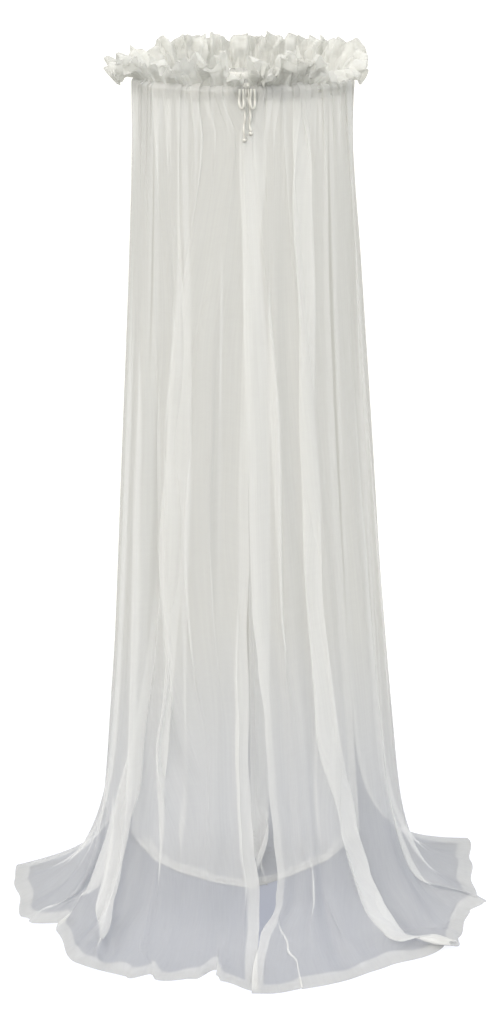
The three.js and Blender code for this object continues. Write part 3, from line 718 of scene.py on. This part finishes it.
def casing_points(side):
    u, turn = u_all[None, :], np.linspace(-0.5 * np.pi, -2.5 * np.pi, 37)[:, None]
    points = round_strip(drops[side], u, turn)
    across, outwards = directions(points)
    aside, out = gather(side, u, 0 * turn)
    outer = GATHER_TOP + (1 - GATHER_TOP) * np.cos(turn)
    # fine creases stand out on both faces of the channel, and slack cloth sags a little between gathers
    crease = np.sin(2 * np.pi * CREASES * u + 2.5 * np.sin(17 * u) + 1.5 * np.sin(2 * turn))
    slack = SLACK * np.sin(2 * np.pi * SLACK_WAVES * u + 1.3 * np.sin(11 * u)) * np.sin(turn)
    out = out * outer + PUCKER * crease * np.abs(np.cos(turn)) + slack
    aside, out = aside * outer * near_edge(u), out * near_edge(u)
    return points + across * aside[..., None] + outwards * out[..., None]


def round_the_hoop(kind, points_of, material, height):
    """The same kind of piece for each of the three drops."""
    made = {}
    for side in drops:
        made[side] = grid_piece(f"{side}_{kind}_cloth", points_of(side), material, (CLOTH_WIDTH, height))
        print(f"{side} {kind}: {area_of(made[side]):.3f} m2")
    return made


casings = round_the_hoop("casing", casing_points, casing_voile, CASING_GIRTH)

# %% [markdown]
# ## Frills
#
# Above the casing the cloth runs on, is folded over at its top edge and comes down again, so the frill
# has two layers. It isn't stiff enough to stand everywhere: it leans out, and in places it flops right
# over and hides the casing. The gathers at its foot join into fewer, larger ruffles towards the edge.

# %% Frills
FRILL_HEIGHT, FRILL_FOOT = 0.053, 0.0112
# How far the edge leans out: degrees round the hoop, degrees from upright
FRILL_LEAN = [
    (36, 34), (60, 22), (72, 30), (84, 12), (97, 40), (103, 58), (110, 20), (126, 26), (140, 60), (150, 96),
    (166, 124), (184, 130), (196, 104), (208, 92), (224, 82), (240, 92), (250, 84), (257, 56), (264, 92),
    (271, 104), (277, 82), (284, 100), (292, 58), (300, 48), (308, 92), (318, 124), (334, 126), (343, 90),
    (354, 66), (364, 78), (376, 48), (388, 30), (396, 34),
]
# How far the ruffles stand out of its plane: degrees round the hoop, metres
FRILL_RUFFLE = [
    (36, 0.009), (100, 0.012), (146, 0.009), (170, 0.014), (205, 0.010), (222, 0.005), (240, 0.009),
    (256, 0.014), (285, 0.013), (306, 0.009), (320, 0.004), (334, 0.005), (346, 0.010), (396, 0.009),
]
# Waves of the crumpled cloth between the ruffles: how many across and up, and how deep
CRUMPLES = [(9, 1.1, 0.003), (17, -1.7, 0.0024), (29, 2.3, 0.002), (53, -2.9, 0.0014)]
FINE_CREASES, CREASE_AT_FOOT, CREASE_GROWTH = 44, 0.0020, 0.0012
RUFFLE_PITCH, RUFFLE_SHARE, RUFFLE_WARP = 0.043, 0.85, 0.012
# How far a ruffle swings sideways for each metre that it stands out, in two waves
RUFFLE_SWING, SLOW_SWING = 0.62, 0.35
# How much of a gather's shift, outwards and sideways, is gone at the edge
GATHER_GONE_OUT, GATHER_GONE_ASIDE = 0.6, 0.8
ROOT_LEAN_DEG, ROOT_FOLLOWS, FLOP_FROM_DEG = 4, 0.55, 60
LAYER_WAVES, LAYER_WAVE, LAYER_GAP = 23, 0.0014, 0.0012
FRILL_ROWS, WALK_STEPS = 22, 60


def frill_points(side):
    drop = drops[side]
    u = u_all[None, :]
    up = np.concatenate([np.linspace(0, 1, FRILL_ROWS), np.linspace(1, 0, FRILL_ROWS)])[:, None]
    layer = np.repeat([1.0, -1.0], FRILL_ROWS)[:, None]
    angle = top_angle(drop, u)
    edge_lean = np.radians(read(FRILL_LEAN, angle))
    flop = np.maximum(0, edge_lean - math.radians(FLOP_FROM_DEG))
    root_lean = math.radians(ROOT_LEAN_DEG) + ROOT_FOLLOWS * flop
    lean = root_lean + (edge_lean - root_lean) * up
    # the frill is walked up from its foot in small steps, because its lean changes on the way
    fine_lean = root_lean + (edge_lean - root_lean) * np.linspace(0, 1, WALK_STEPS + 1)[:, None]
    mean_lean = (fine_lean[1:] + fine_lean[:-1]) / 2
    step = FRILL_HEIGHT / WALK_STEPS
    walk_out = np.concatenate([0 * u, np.cumsum(np.sin(mean_lean), 0) * step])
    walk_up = np.concatenate([0 * u, np.cumsum(np.cos(mean_lean), 0) * step])
    at = np.clip((up[:, 0] * WALK_STEPS).round().astype(int), 0, WALK_STEPS)
    walk_out, walk_up = walk_out[at], walk_up[at]
    aside, out = gather(side, u, 0 * up)
    arc = math.radians(abs(drop["casing"][1] - drop["casing"][0])) * CASING_CENTRE
    rng = np.random.default_rng(5 + len(side))
    warp = sum(RUFFLE_WARP * np.sin(2 * np.pi * n * u + rng.uniform(0, 6)) for n in (2, 3, 5))
    turn = 2 * np.pi * (arc / RUFFLE_PITCH) * (u + warp)
    ruffle = RUFFLE_SHARE * read(FRILL_RUFFLE, angle) * soft_step(up * 1.15) ** 0.8
    # fine creases, then crumples that grow towards the edge
    small = np.sin(2 * np.pi * FINE_CREASES * u + 3 * np.sin(13 * u) + 1.6 * up)
    small = small * (CREASE_AT_FOOT + CREASE_GROWTH * up)
    for waves_across, waves_up, size in CRUMPLES:
        start, bend = rng.uniform(0, 6), rng.uniform(2, 5)
        turns = 2 * np.pi * (waves_across * u + waves_up * up) + bend * np.sin(7 * u + start)
        small = small + size * up * np.sin(turns)
    # the two layers part a little, each with waves of its own
    own = np.sin(2 * np.pi * (LAYER_WAVES * u + 1.4 * up) + 4 * np.sin(9 * u)) * np.sin(np.pi * up)
    waves = np.cos(turn) + 0.45 * np.cos(2.6 * turn + 3 * up + 1)
    out = out * (1 - GATHER_GONE_OUT * up) + ruffle * waves + small
    out = out + layer * (LAYER_WAVE * own + LAYER_GAP * np.sqrt(np.clip(4 * up * (1 - up), 0, 1) + 0.05))
    swing = RUFFLE_SWING * np.sin(2 * turn) + SLOW_SWING * np.sin(turn * 1.37 + 2)
    aside = aside * (1 - GATHER_GONE_ASIDE * up) + ruffle * swing
    fade = near_edge(u)
    radius = CASING_CENTRE + walk_out + out * np.cos(lean) * fade
    height = FRILL_FOOT + walk_up - out * np.sin(lean) * fade
    return around(radius, angle + np.degrees(aside * fade / radius), height)


frills = round_the_hoop("frill", frill_points, frill_voile, 2 * FRILL_HEIGHT)

# %% [markdown]
# ## Hoop, sleeves and cord
#
# The hoop is hidden in the casings and only shows through them. Its two half rings are swept along the
# hoop's circle, and each sleeve is a bored block. The drawcord runs round outside the sleeves and leaves
# the casing at the front, where it is tied in a bow that hangs down.

# %% Round bars along a line
ROD_RADIUS, CORD_RADIUS, HOOP_RADIUS = 0.003, 0.00175, 0.160


def smooth_line(points, steps):
    """Points evenly along a smooth curve through the given ones."""
    points = np.array(points, float)
    ends = np.concatenate([[2 * points[0] - points[1]], points, [2 * points[-1] - points[-2]]])
    fine = []
    for i in range(len(points) - 1):
        a, b, c, d = ends[i : i + 4]
        t = np.linspace(0, 1, 24, endpoint=False)[:, None]
        bends = (2 * a - 5 * b + 4 * c - d) * t**2 + (3 * b - a - 3 * c + d) * t**3
        fine.append(0.5 * (2 * b + (c - a) * t + bends))
    fine = np.concatenate(fine + [points[-1:]])
    walked = np.concatenate([[0], np.cumsum(np.linalg.norm(np.diff(fine, axis=0), axis=1))])
    goal = np.linspace(0, walked[-1], steps + 1)
    return np.stack([np.interp(goal, walked, fine[:, k]) for k in range(3)], 1)


def bar_points(line, radius, sides):
    """A grid round a line, with its section turned as little as it can be, and closed at both ends."""
    along = np.gradient(line, axis=0)
    along /= np.linalg.norm(along, axis=1, keepdims=True)
    across = np.cross(along[0], (0, 0, 1)) if abs(along[0][2]) < 0.9 else np.cross(along[0], (0, 1, 0))
    turn = np.linspace(0, 2 * np.pi, sides, endpoint=False)[:, None]
    rings = []
    for place, way in zip(line, along):
        across = across - way * np.dot(across, way)
        across /= np.linalg.norm(across)
        up = np.cross(across, way)
        rings.append(place + radius * (np.cos(turn) * across + np.sin(turn) * up))
    cap = [np.repeat(line[:1], sides, 0)], [np.repeat(line[-1:], sides, 0)]
    return np.array(cap[0] + rings + cap[1])


def bar_piece(name, line, radius, material, sides):
    length = float(np.linalg.norm(np.diff(line, axis=0), axis=1).sum())
    skin = (2 * math.pi * radius, length)
    return grid_piece(name, bar_points(line, radius, sides), material, skin, is_tube=True)


# %% Half rings and sleeves
ROD_GAP_DEG = math.degrees(0.0005 / HOOP_RADIUS)
SEAMS = {"front": SEAM_DEG, "back": SEAM_DEG - 180}
hoop_pieces = {}
for node, start in (("hoop_left_half", SEAMS["back"]), ("hoop_right_half", SEAMS["front"])):
    turn = np.linspace(start + ROD_GAP_DEG, start + 180 - ROD_GAP_DEG, 161)
    hoop_pieces[node] = bar_piece(f"{node}_rod", around(HOOP_RADIUS, turn, 0), ROD_RADIUS, powder_coat, 20)

SLEEVE_LENGTH, SLEEVE_OUT, SLEEVE_IN = 0.036, 0.1651, 0.15389
SLEEVE_HALF_HEIGHT, SLEEVE_CHAMFER, SLEEVE_EDGE, BORE_GAP = 0.0051, 0.0016, 0.0006, 0.0003


def sleeve_points():
    """A chamfered block with a bore: a section that runs out round the block and back down the bore."""
    middle, half = (SLEEVE_OUT + SLEEVE_IN) / 2, (SLEEVE_OUT - SLEEVE_IN) / 2
    turn = np.linspace(0, 2 * np.pi, 48, endpoint=False)
    c, s = np.cos(turn), np.sin(turn)
    scale = np.minimum(half / np.maximum(np.abs(c), 1e-9), SLEEVE_HALF_HEIGHT / np.maximum(np.abs(s), 1e-9))
    slant = (half + SLEEVE_HALF_HEIGHT - SLEEVE_CHAMFER) / (np.abs(c) + np.abs(s))
    scale = np.minimum(scale, slant)
    ends = (-SLEEVE_LENGTH / 2, SLEEVE_LENGTH / 2)
    edge = SLEEVE_EDGE
    rings = []
    for y, inset in ((ends[0], edge), (ends[0] + edge, 0), (ends[1] - edge, 0), (ends[1], edge)):
        rings.append(np.stack([middle + (scale - inset) * c, y + 0 * c, (scale - inset) * s], 1))
    bore = ROD_RADIUS + BORE_GAP
    for y in np.linspace(ends[1], ends[0], 9):
        at = math.sqrt(HOOP_RADIUS**2 - y**2)
        rings.append(np.stack([at + bore * c, y + 0 * c, bore * s], 1))
    rings.append(rings[0])
    return np.array(rings)


for end in ("back", "front"):
    node = f"hoop_{end}_sleeve"
    points = turned(sleeve_points(), SEAMS[end])
    hoop_pieces[node] = grid_piece(f"{node}_moulding", points, moulded_nylon, (0.03, 0.08), is_tube=True)
print("hoop pieces:", list(hoop_pieces))

# %% [markdown]
# ## Drawcord and bow
#
# A soft cord can't stand out, so both loops and both ends of the bow hang down over the seam. The ends
# are knotted, which keeps twisted cord from coming undone.

# %% Drawcord and bow
CORD_RING, BOW_RADIUS, KNOT_RISE = 0.16812, 0.17944, 0.014
KNOT_WIDTH, KNOT_HEIGHT, KNOT_DEPTH = 0.011, 0.009, 0.008
TAIL_KNOT, TAIL_KNOT_BELOW_MM = 0.0065, 3.55
CORD_EXIT_DEG, CORD_TURN, KNOT_GAP_MM = 0.6987, 0.007, 0.3
LOOP_DEPTH_MM, LOOP_ASIDE_MM, LOOP_OPEN_MM, LOOP_OUT_MM, LOOP_SWING_MM = 29, 8.5, 5.5, 1.75, 3.5

# Each tail on its way down from the knot: millimetres to the side, outwards and up
LEFT_TAIL = [
    (-1.9, -1.2, -4.8), (-2.4, -0.2, -16), (-3.4, 0.4, -32), (-3, 0.8, -50), (-5, 1.2, -66),
    (-3.6, 1.6, -78),
]
RIGHT_TAIL = [
    (1.9, -1.2, -4.8), (2.6, -0.2, -16), (4, 0.4, -30), (5.4, 0.8, -44), (4.2, 1.2, -57), (5.6, 1.6, -68),
]


def from_knot(places_mm):
    """Places counted from the knot in millimetres, to the side, outwards and up, as points in metres."""
    aside, out, up = np.array(places_mm, float).T / 1000
    a = math.radians(SEAM_DEG)
    points = around(BOW_RADIUS + out, SEAM_DEG, KNOT_RISE + up)
    return points + aside[:, None] * np.array([-math.sin(a), math.cos(a), 0])


def drawcord_line():
    knot_back = BOW_RADIUS - KNOT_DEPTH / 2 - KNOT_GAP_MM / 1000
    half_way = CORD_RING + 0.4 * (knot_back - CORD_RING)
    turn = math.degrees(CORD_TURN / CORD_RING)
    start, end = SEAM_DEG + CORD_EXIT_DEG, SEAM_DEG + 360 - CORD_EXIT_DEG
    ways_out = [
        [
            around(knot_back, at, KNOT_RISE),
            around(half_way, at, KNOT_RISE - CORD_RADIUS / 3),
            around(CORD_RING, at, KNOT_RISE - 2 * CORD_RADIUS),
            around(CORD_RING, at, CORD_TURN / 2),
        ]
        for at in (start, end)
    ]
    ring = [around(CORD_RING, d, 0) for d in np.linspace(start + turn, end - turn, 45)]
    first = [around(CORD_RING, start + turn / 4, CORD_TURN / 7)]
    last = [around(CORD_RING, end - turn / 4, CORD_TURN / 7)]
    return smooth_line(ways_out[0] + first + ring + last + ways_out[1][::-1], 520)


def loop_line(sign):
    t = np.linspace(0, 1, 17)
    drop = np.sin(np.pi * t)
    aside = LOOP_ASIDE_MM + LOOP_OPEN_MM * np.cos(np.pi * t) * (0.45 + 0.55 * drop)
    below = KNOT_HEIGHT * 500 + KNOT_GAP_MM + LOOP_DEPTH_MM * drop**0.7
    places = np.stack([sign * aside, LOOP_SWING_MM * drop + LOOP_OUT_MM, -below], 1)
    return smooth_line(from_knot(places), 90)


def knot_points(centre, size, turns):
    """A small overhand knot: a ball whose skin is a band wound round it."""
    down, round_it = np.linspace(0, np.pi, 26), np.linspace(0, 2 * np.pi, 40, endpoint=False)
    down, round_it = np.meshgrid(down, round_it, indexing="ij")
    swell = 1 + 0.09 * np.cos(turns * (round_it + 1.7 * np.cos(down))) * np.sin(down)
    ball = np.stack([np.sin(down) * np.cos(round_it), np.sin(down) * np.sin(round_it), np.cos(down)], -1)
    ball = ball * (swell[..., None] * np.array(size) / 2 / 1.04)
    return turned(ball, SEAM_DEG) + np.array(centre)


cord_pieces = {}
tail_lines = {}


def cord_bar(node, line):
    cord_pieces[node] = bar_piece(f"{node}_cord", line, CORD_RADIUS, cord_cotton, 12)


def cord_knot(node, place_mm, size, turns, skin):
    points = knot_points(from_knot([place_mm])[0], size, turns)
    cord_pieces[node] = grid_piece(f"{node}_cord", points, cord_cotton, skin, is_tube=True)


cord_bar("drawcord", drawcord_line())
cord_knot("bow_knot", (0, 0, 0), (KNOT_DEPTH, KNOT_WIDTH, KNOT_HEIGHT), 3, (0.03, 0.02))
for side, sign, route in (("left", -1, LEFT_TAIL), ("right", 1, RIGHT_TAIL)):
    cord_bar(f"bow_{side}_loop", loop_line(sign))
    tail_lines[side] = smooth_line(from_knot(route), 60)
    cord_bar(f"bow_{side}_tail", tail_lines[side])
    end = np.array(route[-1]) - (0, 0, TAIL_KNOT_BELOW_MM)
    cord_knot(f"bow_{side}_tail_knot", end, (TAIL_KNOT,) * 3, 2, (0.02, 0.01))
print("cord pieces:", list(cord_pieces))

# %% [markdown]
# ## What each piece stands for, and how it moves
#
# Each curtain can be drawn back along the hoop. Its front edge travels and its rear edge stays where it
# is. Each piece here hides the plain solid that it stands for. The back drape, the hoop and the cord go
# with the body of the hoop and the back drape, and the pieces of the curtains stay where they are made.

# %% Stand-ins and bodies
# A line for each curtain through the hoop's centre, from near its rear edge to the far side, whose ends are
# worked out but not used
BLEND_REACH = 0.246
BLEND_FROM_DEG = {"left": 119.5, "right": 64.7}


def place_of(point):
    return tuple(float(c) for c in point)


def settle(piece, node, side):
    """Hides the node that a piece replaces, and puts the piece in the body it moves with; a curtain's piece
    only keeps its place.
    """
    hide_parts(node)
    if side in BLEND_FROM_DEG:
        at = BLEND_FROM_DEG[side]
        start, end = (place_of(around(BLEND_REACH, degrees, 0)) for degrees in (at, at + 180))
        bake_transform(piece)
    else:
        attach(piece, "hoop_and_back")


for side in drops:
    settle(panels[side], panel_nodes[side], side)
    settle(bottom_hems[side], f"{side}_bottom_hem", side)
    for name in hem_names[side]:
        settle(side_hems[f"{side}_{name}_hem"], f"{side}_{name}_hem", side)
    settle(casings[side], f"{side}_casing", side)
    settle(frills[side], f"{side}_frill", side)
for node, piece in hoop_pieces.items():
    settle(piece, node, None)
for node, piece in cord_pieces.items():
    settle(piece, node, None)

# %% [markdown]
# ## Floor and light
#
# White cloth on a white ground only shows where it is a little darker than the ground, and sheer cloth
# takes half its tone from what lies behind it. So the floor is a mid grey, and its plain view is lifted to
# white. Seen through the veil it stays grey, and the veil's shadow stays on it too. Inside the veil the lift
# fades out, which paints a soft shadow on the floor there, so that an open slit looks dark at its foot. The
# sky is white when seen plainly too, and has the floor's grey behind cloth. The light is a soft even sky, a
# large lamp from the left and in front, and a weak one from the right.

# %% Floor, sky and lamps
NEAR_GROUND, FAR_GROUND = "747988", "84837a"
# Centre, start and end of the change from near to far ground, and of the painted shadow on the floor, from
# inside the veil to outside
GROUND_FADES = [(-0.3, 0.21, 1.69), (-0.05, 0.14, 0.26)]
# The lift of the floor's plain view to white, and the lower lift inside the veil, which paints a shadow
# there
LIFT, PAINTED_SHADOW_LIFT = 0.82, 0.22
SKY, SKY_LIGHT, LIT_GROUND = "f6f7fa", 1.37, 1.7
WHITE = "ffffff"


def where_seen(tree, rays, layers):
    """1 for these rays, where the layers of cloth passed are LESS_THAN or GREATER_THAN a half."""
    path = add_node(tree, "ShaderNodeLightPath")
    seen = path.outputs[rays[0]]
    for other in rays[1:]:
        seen = maths(tree, "MAXIMUM", seen, path.outputs[other])
    return maths(tree, "MULTIPLY", seen, maths(tree, layers, path.outputs["Transparent Depth"], 0.5))


def plain_view(tree):
    """1 where the camera, or a mirror, sees the ground directly, and 0 through cloth and for light."""
    return where_seen(tree, ("Is Camera Ray", "Is Glossy Ray", "Is Transmission Ray"), "LESS_THAN")


ground, tree = new_material("studio_floor")
place = add_node(tree, "ShaderNodeNewGeometry").outputs["Position"]
fades = []
for centre_y, near, far in GROUND_FADES:
    away = add_node(
        tree, "ShaderNodeVectorMath", {0: place, 1: (0, centre_y, FLOOR)}, operation="DISTANCE"
    ).outputs["Value"]
    fades.append(add_node(tree, "ShaderNodeMapRange", {"Value": away, "From Min": near, "From Max": far}))
distance, outside_painted_shadow = fades
# Inside the veil the lift is lower: a painted shadow on the floor under the veil
lift = add_node(tree, "ShaderNodeMapRange", {"Value": outside_painted_shadow, "To Min": PAINTED_SHADOW_LIFT, "To Max": LIFT})
ground_colour = mixed(tree, distance, linear(NEAR_GROUND), linear(FAR_GROUND))
matt = add_node(tree, "ShaderNodeBsdfDiffuse", {"Color": ground_colour})
shown = maths(tree, "MULTIPLY", plain_view(tree), lift)
lifted = add_node(tree, "ShaderNodeEmission", {"Color": linear(WHITE), "Strength": shown})
both = add_node(tree, "ShaderNodeAddShader", {0: matt, 1: lifted})
add_node(tree, "ShaderNodeOutputMaterial", {"Surface": both})

FLOOR_HALF = 60
corners = [(-1, -1), (1, -1), (1, 1), (-1, 1)]
floor_mesh = bpy.data.meshes.new("studio_floor")
floor_mesh.from_pydata([(x * FLOOR_HALF, y * FLOOR_HALF, FLOOR) for x, y in corners], [], [(0, 1, 2, 3)])
floor_mesh.materials.append(ground)
floor_object = bpy.data.objects.new("studio_floor", floor_mesh)
bpy.context.collection.objects.link(floor_object)

world = bpy.data.worlds.new("studio")
bpy.context.scene.world = world
world.use_nodes = True
tree = world.node_tree
tree.nodes.clear()
sky_colour, strength = linear(SKY), SKY_LIGHT
for seen, colour, level in (
    (where_seen(tree, ("Is Camera Ray",), "GREATER_THAN"), linear(FAR_GROUND), LIT_GROUND),
    (plain_view(tree), linear(WHITE), 1.0),
):
    sky_colour = mixed(tree, seen, sky_colour, colour)
    strength = add_node(tree, "ShaderNodeMapRange", {"Value": seen, "To Min": strength, "To Max": level})
sky = add_node(tree, "ShaderNodeBackground", {"Color": sky_colour, "Strength": strength})
add_node(tree, "ShaderNodeOutputWorld", {"Surface": sky})

# Name, energy, angle in degrees, colour, and the way towards the lamp
LAMPS = [
    ("soft_box", 1.6, 45, "fff8ec", (-0.55, -0.85, 0.95)),
    ("fill", 0.35, 60, WHITE, (0.9, -0.5, 0.6)),
]
for name, energy, angle, colour, way in LAMPS:
    lamp_data = bpy.data.lights.new(name, "SUN")
    lamp_data.energy = energy
    lamp_data.angle = math.radians(angle)
    lamp_data.color = linear(colour)[:3]
    lamp = bpy.data.objects.new(name, lamp_data)
    lamp.rotation_euler = Vector(way).to_track_quat("Z", "Y").to_euler()
    bpy.context.collection.objects.link(lamp)
print("ground and lamps:", floor_object.name, [lamp[0] for lamp in LAMPS])
